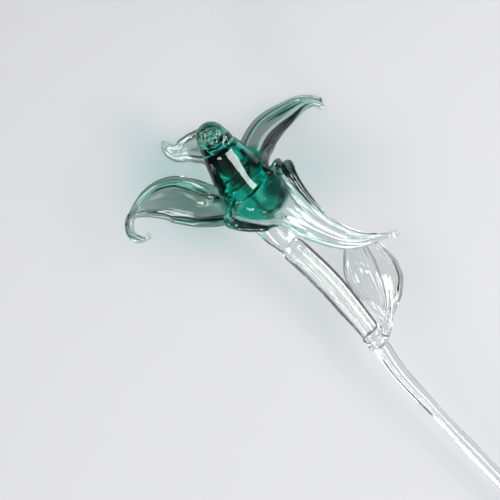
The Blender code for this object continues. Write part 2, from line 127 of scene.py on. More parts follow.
# A blade is carried along its midrib. Round each section runs a bead of glass on the right margin, the
# upper face, a bead on the left margin and the lower face. The pad's half thickness is pad + (rim - pad)
# times a bell round each bead, with ribs added as bells across it. The flat section is then bent: its
# middle line turns by cup * x + curl * |x|^3, and its place is the integral of that turn's cosine and
# sine, with eight Gauss points. At a notch the end is drawn back along the midrib, as a bell across it.
def bladeSurface(blade, rings=190, beadSteps=22, padSteps=40):
    fraction = 0.5 - 0.5 * np.cos(np.linspace(0.0, np.pi, rings))
    middle, along, length = curveThrough(blade["midrib"], fraction)
    side = easeRows(blade["across"], fraction)
    side = unit(side - np.sum(side * along, axis=1, keepdims=True) * along)
    up = np.cross(along, side)
    rows = easeRows(blade["rows"], fraction).T[:, :, None]
    half, rimRight, rimLeft, pad, cup, curlRight, curlLeft = rows
    close = roundEnd(np.minimum(fraction * length / blade["rootRadius"],
                                (1 - fraction) * length / blade["tipRadius"]))[:, None]

    quarter, edge = np.pi / 2, np.linspace(0, 1, padSteps, endpoint=False)[1:]
    bead = np.linspace(-quarter, quarter, beadSteps)
    face = np.full(padSteps - 1, quarter)
    turn = np.concatenate([bead, face, bead + np.pi, -face])
    margin, overPad = np.ones(beadSteps), np.cos(np.pi * edge)
    lean = np.concatenate([margin, overPad, -margin, -overPad])
    mostRim = bladeMaking["mostRim"] * half
    rimRight, rimLeft = np.minimum(rimRight, mostRim), np.minimum(rimLeft, mostRim)
    rim = np.where(np.cos(turn) + lean > 0, rimRight, rimLeft)
    flat = np.where(lean > 0, half - rimRight, half - rimLeft)
    fromBead = flat * (1 - np.abs(lean))
    thin = np.minimum(pad, rim)
    thick = thin + (rim - thin) * bell(fromBead, 0.0, bladeMaking["beadReach"] * rim)
    share = (flat * lean + rim * np.cos(turn)) / half
    grow = smoothStep(fraction, *bladeMaking["ribsGrowOver"])
    fade = grow * smoothStep(1 - fraction, *bladeMaking["ribsFadeOver"])
    ribs, end = 0.0, bladeMaking["ribEnd"]
    for at, slide, wide, high, start, stop in blade["ribs"]:
        rib = smoothStep(fraction, start, start + end) * smoothStep(-fraction, -stop, end - stop)
        ribs = ribs + high * bell(share, at + slide * (fraction[:, None] - 0.5), wide) * rib[:, None]
    through = (thick + ribs * fade[:, None]) * np.sin(turn) * close
    place = share * close

    node, weight = np.polynomial.legendre.leggauss(8)
    spot = place[..., None] * (node + 1) / 2
    curl = np.where(spot > 0, curlRight[..., None], -curlLeft[..., None])
    angle = cup[..., None] * spot + curl * np.abs(spot) ** 3
    lineAcross = half * place / 2 * np.sum(weight * np.cos(angle), axis=-1)
    lineUp = half * place / 2 * np.sum(weight * np.sin(angle), axis=-1)
    atEnd = cup * place + np.where(place > 0, curlRight, -curlLeft) * np.abs(place) ** 3
    offset = lineAcross - through * np.sin(atEnd)
    lift = lineUp + through * np.cos(atEnd)
    grid = middle[:, None] + offset[..., None] * side[:, None] + lift[..., None] * up[:, None]
    drawn = sum(deep * bell(place, at, wide) for at, wide, deep in blade["notches"])
    drawn = drawn * smoothStep(fraction, bladeMaking["forkFrom"], 1.0)[:, None]
    return grid - drawn[..., None] * along[:, None], np.broadcast_to(fraction[:, None], share.shape), share


strandEnd = 0.015  # a strand's ends fade as a bell of this width, as a share of the piece's length


# The colour of the glass at each point: the piece's colours in order along it, then each strand mixed in,
# as filters are: the tint is multiplied by (strand's colour / tint) ** share. The share is strength times
# e to the minus fourth power of the distance from the strand's middle over its width. Some strands are
# streaks of the glass's own colour; the others are painted shade, dark lines and patches where the glass
# would show shade, and painted highlights, light lines where it would show a reflection.
def tintAndPaintedLightOf(look, along, across):
    places = [place for place, _ in look["colours"]]
    colours = np.array([linear(hexText)[:3] for _, hexText in look["colours"]])
    tint = np.stack([np.interp(along, places, colours[:, k]) for k in range(3)], axis=-1)
    for rows, hexText, strength in look["strandsAndPaintedLight"]:
        spot = np.clip(along, rows[0][0], rows[-1][0])
        middle, width = easeRows(rows, spot).T
        weight = strength * np.exp(-(((across - middle) / width) ** 4)) * bell(along - spot, 0.0, strandEnd)
        tint = tint * (np.array(linear(hexText)[:3]) / tint) ** weight[..., None]
    return tint


# An sRGB hex colour as linear light: the sRGB curve undone, which is a straight line near black and a
# power of 2.4 above it.
def linear(hexText):
    channel = np.array([int(hexText[i:i + 2], 16) for i in (1, 3, 5)]) / 255
    return tuple(np.where(channel <= 0.04045, channel / 12.92, ((channel + 0.055) / 1.055) ** 2.4)) + (1.0,)


# Pale teal borosilicate glass: green where it is thick round the bud, nearly clear along the drawn-out tip.
frontPetal = {
    "midrib": [
        (3.8, 0.4, 5.2), (-0.3, -0.4, 12.1), (-4.0, -2.4, 16.0), (-7.9, -4.3, 18.0), (-12.1, -6.4, 18.5),
        (-17.1, -7.9, 18.0), (-23.0, -9.3, 16.5), (-29.2, -11.6, 14.0), (-36.8, -15.7, 11.0),
        (-42.4, -20.8, 9.5), (-46.2, -27.5, 8.5), (-50.3, -34.4, 8.5),
    ],
    # fraction of the length, and the direction in which the blade spreads there
    "across": [(0.0, 0.11, -0.98, -0.15), (0.15, 0.12, -0.98, -0.10), (0.3, 0.39, -0.92, 0.0),
               (0.6, 0.62, -0.78, 0.10), (1.0, 0.68, -0.71, 0.20)],
    # fraction, half width, right rim, left rim, pad, cup, right curl, left curl
    "rows": [
        (0.00, 7.8, 1.3, 1.3, 1.0, -0.50, 0.3, 0.3), (0.06, 13.0, 2.1, 1.8, 0.9, -0.50, 0.9, 0.6),
        (0.12, 17.4, 2.4, 2.1, 0.8, -0.45, 1.1, 0.9), (0.20, 15.6, 2.0, 1.9, 0.8, -0.40, 0.8, 0.6),
        (0.28, 12.4, 1.7, 1.6, 0.7, -0.10, 0.4, 0.3), (0.36, 8.8, 1.4, 1.4, 0.6, 0.10, 0.1, 0.0),
        (0.50, 6.7, 1.2, 1.3, 0.5, 0.30, 0.0, 0.0), (0.74, 4.1, 1.1, 1.1, 0.5, 0.30, 0.0, 0.0),
        (0.87, 1.8, 0.9, 0.9, 0.6, 0.20, 0.0, 0.0), (0.94, 0.95, 0.9, 0.9, 0.9, 0.0, 0.0, 0.0),
        (0.98, 1.4, 1.35, 1.35, 1.35, 0.0, 0.0, 0.0), (1.00, 1.3, 1.25, 1.25, 1.25, 0.0, 0.0, 0.0),
    ],
    # place across, how far it slides over the length, width, height, and where along it starts and stops
    "ribs": [(0.05, 0.0, 0.12, 0.16, 0, 1), (-0.42, 0.3, 0.10, 0.14, 0, 1), (0.48, -0.3, 0.08, 0.14, 0, 1)],
    "rootRadius": 1.3, "tipRadius": 1.3, "notches": [],
    # The right rim starts in a thick rounded roll that thins down along the margin.
    "rim": {
        "route": [(0.1, -18.0, 14.6), (-2.1, -17.2, 16.6), (-5.1, -16.4, 18.2), (-9.0, -15.8, 18.6),
                  (-13.8, -15.5, 18.4), (-19.2, -15.6, 17.3), (-25.3, -16.3, 15.1)],
        # distance along the route, half width, half height
        "rows": [(0.0, 2.3, 2.3), (3.1, 2.4, 2.4), (7.0, 2.0, 2.0), (12.0, 1.6, 1.6), (20.0, 1.2, 1.2),
                 (27.0, 0.8, 0.8)],
        "grooves": [], "startRadius": 2.2, "endRadius": 0.8,
        "along": (0.15, 0.5),  # the places along the petal that its two ends stand for
    },
    # place along, and the colour there
    "colours": [(0.0, "#8fd8ca"), (0.10, "#a4dccf"), (0.20, "#b4dcd2"), (0.28, "#d2e8e2"), (0.36, "#ecf7f4"),
                (1.0, "#f8fcfb")],
    # rows of place along, middle across and width, then the strand's colour and strength. The strands marked
    # below are painted shade and painted highlights; the rest are the glass's own colour.
    "strandsAndPaintedLight": [
        # painted shade: a dark oval in the lower rim's bead
        ([(0.13, -0.80, 0.02), (0.17, -0.85, 0.06), (0.21, -0.84, 0.07), (0.26, -0.86, 0.05),
          (0.33, -0.90, 0.03)], "#061212", 0.98),
        # painted highlight: a light line beside it
        ([(0.20, -0.74, 0.015), (0.26, -0.76, 0.035), (0.34, -0.80, 0.03)], "#e0f4ef", 0.9),
        ([(0.30, -0.70, 0.08), (0.42, -0.70, 0.10), (0.60, -0.75, 0.10), (0.70, -0.75, 0.05)],
         "#cdf0e6", 0.8),
        # painted shade: the next five strands darken the fold over the bud and the right edge beside it
        ([(0.12, 0.75, 0.10), (0.16, 0.58, 0.28), (0.20, 0.42, 0.36), (0.25, 0.32, 0.32),
          (0.285, 0.28, 0.22)], "#436661", 0.85),
        ([(0.24, -0.45, 0.03), (0.264, -0.35, 0.05), (0.286, -0.12, 0.06)], "#3a5a54", 0.75),
        ([(0.289, 0.22, 0.36), (0.297, 0.20, 0.36)], "#2f4c47", 0.85),
        ([(0.20, 0.66, 0.03), (0.26, 0.66, 0.035), (0.288, 0.60, 0.03)], "#2a4642", 0.8),
        ([(0.12, 0.97, 0.06), (0.20, 0.97, 0.08), (0.26, 0.95, 0.05)], "#2f5f58", 0.9),
        ([(0.20, -0.30, 0.10), (0.25, -0.10, 0.22), (0.29, 0.05, 0.10)], "#8fb4ab", 0.8),
        # painted shade: a dark outline inside the right margin
        ([(0.28, 0.52, 0.03), (0.32, 0.42, 0.035), (0.38, 0.30, 0.03)], "#5f6f6a", 0.7),
        ([(0.21, 0.80, 0.03), (0.26, 0.74, 0.05), (0.32, 0.70, 0.03)], "#c8fff2", 0.95),
        ([(0.15, 1.3, 0.15), (0.20, 1.3, 0.15)], "#7f908c", 0.95),
        ([(0.20, 1.3, 0.15), (0.29, 1.3, 0.15)], "#5a706b", 0.95),
        ([(0.29, 1.3, 0.15), (0.36, 1.3, 0.15)], "#8fa29d", 0.9),
        ([(0.36, 1.3, 0.15), (0.5, 1.3, 0.15)], "#c4d0cd", 0.8),
        # painted shade: dark lines along both sides of the roll
        ([(0.15, 1.22, 0.04), (0.40, 1.22, 0.04)], "#182a28", 0.9),
        ([(0.15, 1.38, 0.04), (0.40, 1.38, 0.04)], "#182a28", 0.9),
        # painted shade: grey lines along both margins of the drawn-out part
        ([(0.40, 0.93, 0.05), (0.6, 0.93, 0.06), (0.9, 0.93, 0.08)], "#93aaa3", 0.8),
        ([(0.40, -0.93, 0.04), (0.6, -0.93, 0.05), (0.9, -0.93, 0.06)], "#9fbab2", 0.7),
        ([(0.45, 0.45, 0.03), (0.6, 0.55, 0.05), (0.8, 0.50, 0.04)], "#a8b5ae", 0.5),
    ],
    # length and half width in mm, for the cords; the tint of its shadow; the colour that its body leaves in
    # the light, and how strongly, per metre
    "size": (90.0, 12.0), "ior": 1.5, "shade": "#f0f8f6", "body": "#c8f2ea", "depth": 50.0,
    "glass": "paleTealFlameworkedGlass", "slot": "pale_teal_glass",
}

# Pale teal borosilicate glass, smoky and thin between two thick mint rims.
leftPetal = {
    "midrib": [
        (-0.8, 6.5, 0.0), (1.8, 11.5, 3.0), (5.4, 15.7, 7.0), (9.4, 19.3, 10.0), (13.8, 22.8, 11.5),
        (18.3, 27.2, 12.0), (21.3, 32.3, 11.0), (23.0, 37.8, 9.0), (23.2, 42.4, 6.5), (20.8, 45.7, 4.0),
        (17.3, 47.0, 2.0), (14.2, 45.3, 1.0), (13.0, 40.8, 1.0),
    ],
    "across": [(0.0, 0.70, -0.66, 0.29), (0.3, 0.76, -0.58, 0.29), (0.6, 0.81, -0.45, 0.37),
               (0.75, 0.89, 0.07, 0.45), (1.0, 0.0, 0.0, 1.0)],
    "rows": [
        (0.00, 6.0, 1.8, 1.6, 1.2, 0.3, 0.2, 0.4), (0.10, 7.8, 2.2, 1.7, 0.6, 0.4, 0.2, 0.5),
        (0.20, 8.8, 2.3, 1.7, 0.45, 0.5, 0.3, 0.6), (0.30, 9.8, 2.3, 1.6, 0.45, 0.5, 0.3, 0.6),
        (0.42, 10.2, 2.1, 1.5, 0.45, 0.5, 0.3, 0.5), (0.50, 8.9, 1.8, 1.4, 0.5, 0.5, 0.3, 0.4),
        (0.58, 6.6, 1.6, 1.4, 0.7, 0.4, 0.2, 0.3), (0.66, 3.7, 1.4, 1.3, 1.0, 0.2, 0.0, 0.1),
        (0.73, 1.8, 1.3, 1.3, 1.2, 0.0, 0.0, 0.0), (0.91, 1.9, 1.8, 1.8, 1.7, 0.0, 0.0, 0.0),
        (0.955, 1.3, 1.25, 1.25, 1.25, 0.0, 0.0, 0.0), (0.98, 1.5, 1.45, 1.45, 1.45, 0.0, 0.0, 0.0),
        (1.00, 1.45, 1.4, 1.4, 1.4, 0.0, 0.0, 0.0),
    ],
    "ribs": [(0.30, 0.0, 0.05, 0.08, 0, 1), (0.08, 0.1, 0.06, 0.08, 0, 1), (-0.16, 0.1, 0.05, 0.07, 0, 1),
             (-0.42, 0.0, 0.07, 0.10, 0, 1)],
    "rootRadius": 1.5, "tipRadius": 1.4, "notches": [],
    "colours": [(0.0, "#2f9a78"), (0.06, "#63b09c"), (0.15, "#a4b6ad"), (0.30, "#a0ada6"), (0.55, "#a9b8b1"),
                (0.7, "#bccdc7"), (1.0, "#e2eeea")],
    "strandsAndPaintedLight": [
        ([(0.16, 0.45, 0.05), (0.30, 0.60, 0.10), (0.42, 0.66, 0.12), (0.50, 0.69, 0.09), (0.57, 0.68, 0.06),
          (0.64, 0.60, 0.04)], "#92fde6", 1.0),
        ([(0.25, 0.90, 0.12), (0.35, 0.95, 0.14), (0.5, 0.98, 0.14), (0.6, 0.98, 0.12)], "#aab4ae", 0.8),
        ([(0.25, 0.75, 0.03), (0.4, 0.82, 0.035), (0.55, 0.80, 0.03)], "#5f7068", 0.7),
        ([(0.22, -0.50, 0.05), (0.33, -0.56, 0.05), (0.46, -0.52, 0.06), (0.60, -0.42, 0.05)],
         "#4a5c50", 0.8),
        # painted highlight: a light line along the lower rim
        ([(0.20, -0.64, 0.03), (0.30, -0.74, 0.05), (0.40, -0.77, 0.06), (0.50, -0.75, 0.06),
          (0.58, -0.68, 0.05), (0.66, -0.55, 0.05)], "#d4f6ec", 0.95),
        # painted shade: a dark line along the lower margin
        ([(0.14, -0.84, 0.06), (0.28, -0.92, 0.04), (0.42, -0.95, 0.03)], "#0d3a38", 0.95),
        # painted shade: a dark patch at the root, beside the bud
        ([(0.09, -0.45, 0.10), (0.16, -0.50, 0.12), (0.23, -0.55, 0.06)], "#0e2a22", 0.95),
        ([(0.66, 0.2, 0.2), (0.75, 0.3, 0.3), (0.85, 0.3, 0.3)], "#5a7a70", 0.6),
        # painted shade: a dark line along the outer edge of the hook
        ([(0.60, 0.97, 0.12), (0.75, 0.97, 0.14), (0.94, 0.97, 0.14)], "#3c4f49", 0.8),
    ],
    "size": (75.0, 9.0), "ior": 1.5, "shade": "#edf6f4", "body": "#a8e4da", "depth": 40.0,
    "glass": "paleTealFlameworkedGlass", "slot": "pale_teal_glass",
}

# Pale teal borosilicate glass with mint streaks. Its steep right rim and the trough beside it are painted
# near black, as painted shade, with thin painted highlights along them.
upperPetal = {
    "midrib": [
        (3.1, -3.2, -1.0), (8.0, -6.7, -5.2), (12.9, -11.9, -9.4), (16.3, -18.4, -15.4),
        (17.9, -26.3, -22.2), (17.5, -34.8, -28.0), (16.4, -42.1, -32.3), (13.7, -46.6, -34.5),
        (9.0, -49.3, -35.6),
    ],
    "across": [(0.0, -0.63, -0.57, 0.53), (0.3, -0.69, -0.50, 0.52), (0.6, -0.88, 0.0, 0.48),
               (0.85, -0.89, 0.26, 0.38), (1.0, -0.9, 0.3, 0.3)],
    "rows": [
        (0.00, 6.0, 1.6, 1.4, 1.2, 0.4, 0.7, 0.0), (0.15, 7.2, 1.9, 1.4, 0.6, 0.5, 0.9, 0.0),
        (0.30, 8.0, 1.9, 1.4, 0.5, 0.6, 1.0, 0.0), (0.45, 7.8, 1.8, 1.3, 0.5, 0.7, 1.1, 0.0),
        (0.60, 6.8, 1.5, 1.2, 0.45, 0.8, 0.9, 0.0), (0.75, 5.0, 1.2, 1.0, 0.45, 0.9, 0.7, 0.0),
        (0.88, 3.2, 0.9, 0.9, 0.4, 0.9, 0.5, 0.0), (0.94, 2.4, 0.8, 0.8, 0.4, 0.7, 0.4, 0.0),
        (0.98, 2.6, 0.8, 0.8, 0.4, 0.6, 0.4, 0.0), (1.00, 2.5, 0.7, 0.7, 0.3, 0.6, 0.4, 0.0),
    ],
    "ribs": [(0.2, 0.0, 0.08, 0.12, 0, 1), (-0.35, 0.0, 0.08, 0.10, 0, 1), (-0.7, 0.0, 0.05, 0.08, 0, 1),
             (0.60, 0.1, 0.04, 0.30, 0.1, 0.7), (0.74, 0.1, 0.04, 0.34, 0.1, 0.6)],
    "rootRadius": 1.4, "tipRadius": 0.8,
    "notches": [(-1.0, 0.9, 2.6), (-0.1, 0.3, 0.8)],  # place across, width, depth in mm
    # The right rim is drawn forward over the bud's flank and turns back in a U.
    "rim": {
        "route": [(9.9, -19.7, -13.0), (8.9, -17.4, -8.5), (8.0, -15.3, -3.0), (6.8, -13.4, 3.5),
                  (5.0, -11.5, 9.5), (2.8, -10.3, 13.3), (0.6, -10.5, 15.4), (-0.3, -12.3, 16.3)],
        "rows": [(0.0, 1.6, 1.6), (8.0, 1.8, 1.8), (18.0, 1.7, 1.7), (26.0, 1.5, 1.5), (32.5, 1.2, 1.2)],
        "grooves": [], "startRadius": 1.0, "endRadius": 1.2, "along": (0.35, 0.0),
    },
    "colours": [(0.0, "#2f8f7c"), (0.22, "#4aa28f"), (0.29, "#86958d"), (0.5, "#96a59e"), (0.8, "#c6dcd5"),
                (1.0, "#eef7f4")],
    "strandsAndPaintedLight": [
        ([(0.15, 0.30, 0.45), (0.20, 0.15, 0.45), (0.26, -0.05, 0.40)], "#128a70", 0.85),
        ([(0.30, -0.10, 0.26), (0.40, -0.10, 0.24), (0.56, 0.00, 0.12)], "#949d98", 0.8),
        ([(0.24, 0.30, 0.10), (0.35, 0.30, 0.13), (0.5, 0.35, 0.12), (0.62, 0.38, 0.13), (0.75, 0.28, 0.18),
          (0.90, 0.15, 0.3)], "#e6f6f1", 0.95),
        ([(0.68, 0.80, 0.10), (0.82, 0.78, 0.2), (0.95, 0.75, 0.25)], "#b8e6da", 0.8),
        # painted shade: the trough inside the right rim, near black
        ([(0.25, 0.79, 0.25), (0.35, 0.80, 0.27), (0.5, 0.80, 0.26), (0.6, 0.76, 0.22),
          (0.7, 0.64, 0.12), (0.78, 0.57, 0.07), (0.84, 0.50, 0.04)], "#060c0c", 1.0),
        # painted shade: the rim near black over its top and both sides
        ([(0.0, 1.3, 0.15), (0.36, 1.3, 0.15)], "#243833", 0.97),
        ([(0.0, 1.22, 0.05), (0.36, 1.22, 0.05)], "#040808", 1.0),
        ([(0.0, 1.38, 0.05), (0.36, 1.38, 0.05)], "#040808", 1.0),
        # painted highlight: a thin light line along the top of the rim
        ([(0.02, 1.30, 0.022), (0.34, 1.30, 0.022)], "#d8ece6", 0.95),
        # painted highlight: a thin light line in the trough
        ([(0.28, 0.66, 0.02), (0.34, 0.70, 0.035), (0.42, 0.66, 0.03), (0.50, 0.66, 0.015)], "#dcecea", 0.9),
        ([(0.52, -0.12, 0.04), (0.62, -0.04, 0.10), (0.74, 0.06, 0.09), (0.82, 0.10, 0.03)],
         "#1f5a4e", 1.0),
        ([(0.46, -0.34, 0.03), (0.60, -0.26, 0.05), (0.74, -0.20, 0.05), (0.82, -0.16, 0.02)],
         "#2c6a5e", 0.9),
        ([(0.26, -0.42, 0.04), (0.45, -0.48, 0.07), (0.65, -0.44, 0.07), (0.80, -0.36, 0.04)],
         "#8ff4d2", 1.0),
        ([(0.25, -0.64, 0.03), (0.6, -0.66, 0.05), (0.85, -0.6, 0.1)], "#d0e2db", 0.7),
        # painted shade: a dark line along the left margin
        ([(0.2, -0.78, 0.05), (0.5, -0.82, 0.05), (0.85, -0.85, 0.05)], "#5c6c66", 0.8),
    ],
    "size": (70.0, 8.0), "ior": 1.5, "shade": "#eef6f4", "body": "#c8ece4", "depth": 30.0,
    "glass": "paleTealFlameworkedGlass", "slot": "pale_teal_glass",
}

# Nearly clear borosilicate glass. Painted shade runs as dark lines along both its edges.
backPetal = {
    "midrib": [
        (5.0, 3.5, -6.0), (12.3, 3.2, -14.0), (21.6, 1.9, -22.5), (28.4, 2.2, -28.5), (31.0, 5.3, -31.7),
        (32.6, 8.3, -33.5), (33.9, 11.7, -34.5), (36.3, 13.6, -35.0), (39.1, 14.0, -35.0),
        (41.8, 13.6, -34.0),
    ],
    "across": [(0.0, 0.22, -0.88, 0.42), (0.5, 0.55, -0.73, 0.40), (0.85, 0.75, -0.63, 0.20),
               (1.0, 0.08, -0.97, 0.23)],
    "rows": [
        (0.00, 4.0, 1.3, 1.3, 1.0, 0.6, 0.0, 0.3), (0.20, 5.4, 1.3, 1.5, 0.6, 0.7, 0.0, 0.3),
        (0.45, 8.2, 1.2, 1.6, 0.5, 0.8, 0.0, 0.2), (0.58, 8.4, 1.1, 1.6, 0.45, 0.7, 0.0, 0.1),
        (0.70, 7.0, 1.1, 1.5, 0.5, 0.6, 0.0, 0.0), (0.80, 4.9, 1.0, 1.3, 0.5, 0.5, 0.0, 0.0),
        (0.88, 3.4, 0.8, 1.0, 0.6, 0.4, 0.0, 0.0), (0.95, 2.0, 0.7, 0.8, 0.6, 0.3, 0.0, 0.0),
        (1.00, 0.5, 0.45, 0.45, 0.45, 0.0, 0.0, 0.0),
    ],
    "ribs": [(0.1, 0.0, 0.1, 0.18, 0, 1), (-0.4, 0.3, 0.08, 0.14, 0, 1)],
    "rootRadius": 1.2, "tipRadius": 0.5, "notches": [],
    "colours": [(0.0, "#9fcabf"), (0.25, "#dbe6e1"), (0.6, "#e6eeeb"), (1.0, "#f2f8f6")],
    "strandsAndPaintedLight": [
        # painted shade: dark lines along both edges
        ([(0.15, 0.95, 0.06), (0.6, 0.96, 0.06), (0.95, 0.96, 0.08)], "#4f5653", 0.85),
        ([(0.15, -0.97, 0.05), (0.6, -0.98, 0.05), (0.95, -0.98, 0.08)], "#4f5653", 0.85),
        ([(0.50, -0.15, 0.10), (0.62, -0.15, 0.20), (0.72, -0.10, 0.08)], "#9a9d97", 0.7),
        ([(0.45, 0.60, 0.04), (0.65, 0.58, 0.06), (0.85, 0.40, 0.05)], "#6b726f", 0.7),
    ],
    "size": (60.0, 8.0), "ior": 1.5, "shade": "#eef5f3", "body": "#e8f4f0", "depth": 10.0,
    "glass": "clearFlameworkedGlass", "slot": "clear_glass",
}

# Clear borosilicate glass, as in the collar and the stem: no colour, dark edges and bright streaks.
clearGlass = {
    "colours": [(0.0, "#f4f8f6"), (1.0, "#f8fbfa")], "strandsAndPaintedLight": [],
    "size": (60.0, 5.0), "ior": 1.5, "shade": "#f0f5f3", "body": "#e8f4f0", "depth": 10.0,
    "glass": "clearFlameworkedGlass", "slot": "clear_glass",
}

# The leaf is pressed with a tool while it is soft, so its veins stand up and catch the light.
leaf = {
    **clearGlass,
    "midrib": [
        (-79.6, -3.6, -9.8), (-76.2, -7.6, -8.8), (-71.3, -11.0, -8.0), (-66.0, -14.2, -7.2),
        (-59.0, -17.2, -7.0), (-52.0, -20.0, -9.0), (-45.1, -21.8, -13.0), (-40.3, -23.0, -17.0),
    ],
    "across": [(0.0, -0.57, -0.82, 0.0), (0.5, -0.78, -0.62, -0.10), (1.0, -0.88, -0.47, 0.0)],
    "rows": [
        (0.00, 2.0, 1.8, 1.8, 1.6, 0.2, 0.0, 0.0), (0.10, 2.2, 1.6, 1.6, 1.3, 0.2, 0.0, 0.0),
        (0.20, 3.4, 1.4, 1.4, 1.0, 0.3, 0.1, 0.0), (0.35, 8.4, 1.2, 1.2, 0.7, 0.5, 0.4, 0.0),
        (0.50, 12.2, 1.2, 1.1, 0.6, 0.6, 0.5, 0.0), (0.63, 12.8, 1.2, 1.1, 0.6, 0.6, 0.4, 0.0),
        (0.78, 10.9, 1.0, 1.0, 0.6, 0.5, 0.2, 0.0), (0.90, 7.4, 1.0, 1.0, 0.5, 0.3, 0.0, 0.0),
        (0.97, 3.5, 0.8, 0.8, 0.6, 0.2, 0.0, 0.0), (1.00, 0.8, 0.6, 0.6, 0.6, 0.0, 0.0, 0.0),
    ],
    "ribs": [(0.0, 0.0, 0.06, 0.6, 0, 1), (-0.4, 0.25, 0.05, 0.16, 0, 1), (-0.7, 0.2, 0.04, 0.12, 0, 1),
             (0.35, -0.2, 0.05, 0.16, 0, 1), (0.65, -0.15, 0.05, 0.18, 0, 1)],
    "rootRadius": 1.6, "tipRadius": 0.8, "notches": [],
    "strandsAndPaintedLight": [
        # painted shade: grey lines along both margins
        ([(0.1, 0.97, 0.06), (0.9, 0.97, 0.06)], "#8f8d88", 0.7),
        ([(0.1, -0.97, 0.06), (0.9, -0.97, 0.06)], "#8f8d88", 0.7),
        ([(0.1, 0.10, 0.05), (0.5, 0.08, 0.05), (0.85, 0.06, 0.04)], "#a5a29c", 0.6),
    ],
    "size": (48.0, 12.0), "glass": "clearPressedGlass",
}

grooveEnd = 4  # mm over which a groove fades in and out


# A rod is an oval section carried along a route, from the rows' half widths and half heights at distances
# along it. Each groove takes a bell out of the radius: depth * bell(angle from its place).
def rodSurface(rod, rings=120, sides=72):
    places = np.array([row[0] for row in rod["rows"]])
    u = 0.5 - 0.5 * np.cos(np.linspace(0.0, np.pi, rings))
    at = places[0] + (places[-1] - places[0]) * u
    middle, along, _ = curveThrough(rod.get("route", stemRoute), at, asFraction=False)
    side = unit(np.cross(along, np.array([0.0, 0.0, 1.0])))
    up = np.cross(side, along)
    wide, high = easeRows(rod["rows"], at).T[:, :, None]
    close = roundEnd(np.minimum((at - places[0]) / rod["startRadius"],
                                (places[-1] - at) / rod["endRadius"]))[:, None]
    turn = np.linspace(0.0, 2 * np.pi, sides, endpoint=False)
    cut = np.zeros((rings, sides))
    for angle, width, depth, start, stop in rod["grooves"]:
        away = (turn - np.radians(angle) + np.pi) % (2 * np.pi) - np.pi
        fade = smoothStep(at, start, start + grooveEnd) * smoothStep(-at, -stop, -stop + grooveEnd)
        cut += depth * bell(away, 0.0, np.radians(width)) * fade[:, None]
    offset = (wide - cut) * np.cos(turn) * close
    lift = (high - cut) * np.sin(turn) * close
    grid = middle[:, None] + offset[..., None] * side[:, None] + lift[..., None] * up[:, None]
    return grid, np.broadcast_to(u[:, None], offset.shape), np.broadcast_to(np.cos(turn), offset.shape)


# The middle of the collar and stem, from the bud's base to the rounded end.
stemRoute = [
    (-4.3, 1.6, -2.0), (-13.0, 2.5, -4.0), (-20.4, 2.5, -5.0), (-26.3, 1.7, -5.3), (-33.0, 0.7, -5.6),
    (-47.6, -0.8, -7.0), (-63.2, -1.0, -9.0), (-78.5, -0.7, -10.3), (-94.0, 0.8, -12.0),
    (-113.3, -0.1, -14.0), (-136.0, -1.3, -16.5), (-190.0, -4.6, -23.0), (-283.8, -8.5, -34.3),
]

collar = {
    **clearGlass,
    # distance along the stem, half width, half height
    "rows": [(1.0, 7.0, 7.0), (9.0, 6.2, 6.0), (15.0, 5.4, 4.6), (19.0, 4.6, 3.8), (22.5, 4.2, 3.5)],
    "grooves": [], "startRadius": 5.0, "endRadius": 1.5,
}

upperStem = {
    **clearGlass,
    "rows": [(21.0, 4.0, 3.4), (25.0, 5.2, 3.9), (38.0, 5.3, 3.9), (54.0, 5.1, 3.7), (64.0, 4.6, 3.4),
             (71.5, 4.2, 3.1)],
    # degrees round the rod, width in degrees, depth, and the distances at which it starts and stops
    "grooves": [(68, 9, 1.5, 24, 72), (38, 8, 1.1, 26, 70), (130, 14, 0.7, 24, 72), (270, 16, 1.0, 24, 72)],
    "startRadius": 1.5, "endRadius": 1.5,
}

joint = {
    **clearGlass,
    "rows": [(70.0, 4.2, 3.3), (72.2, 4.9, 3.9), (74.0, 4.2, 3.4), (75.8, 4.7, 3.9), (78.5, 3.6, 3.2)],
    "grooves": [], "startRadius": 1.2, "endRadius": 1.2,
}

lowerStem = {
    **clearGlass,
    "rows": [(77.0, 3.5, 3.1), (87.0, 3.3, 3.1), (99.0, 3.1, 2.9), (119.0, 2.6, 2.6), (138.0, 3.0, 2.9),
             (160.0, 3.0, 3.0), (270.0, 3.0, 3.0), (281.0, 3.0, 3.0)],
    "grooves": [(72, 9, 1.0, 78, 120), (40, 9, 0.7, 80, 116)],
    "startRadius": 1.2, "endRadius": 3.0,
}


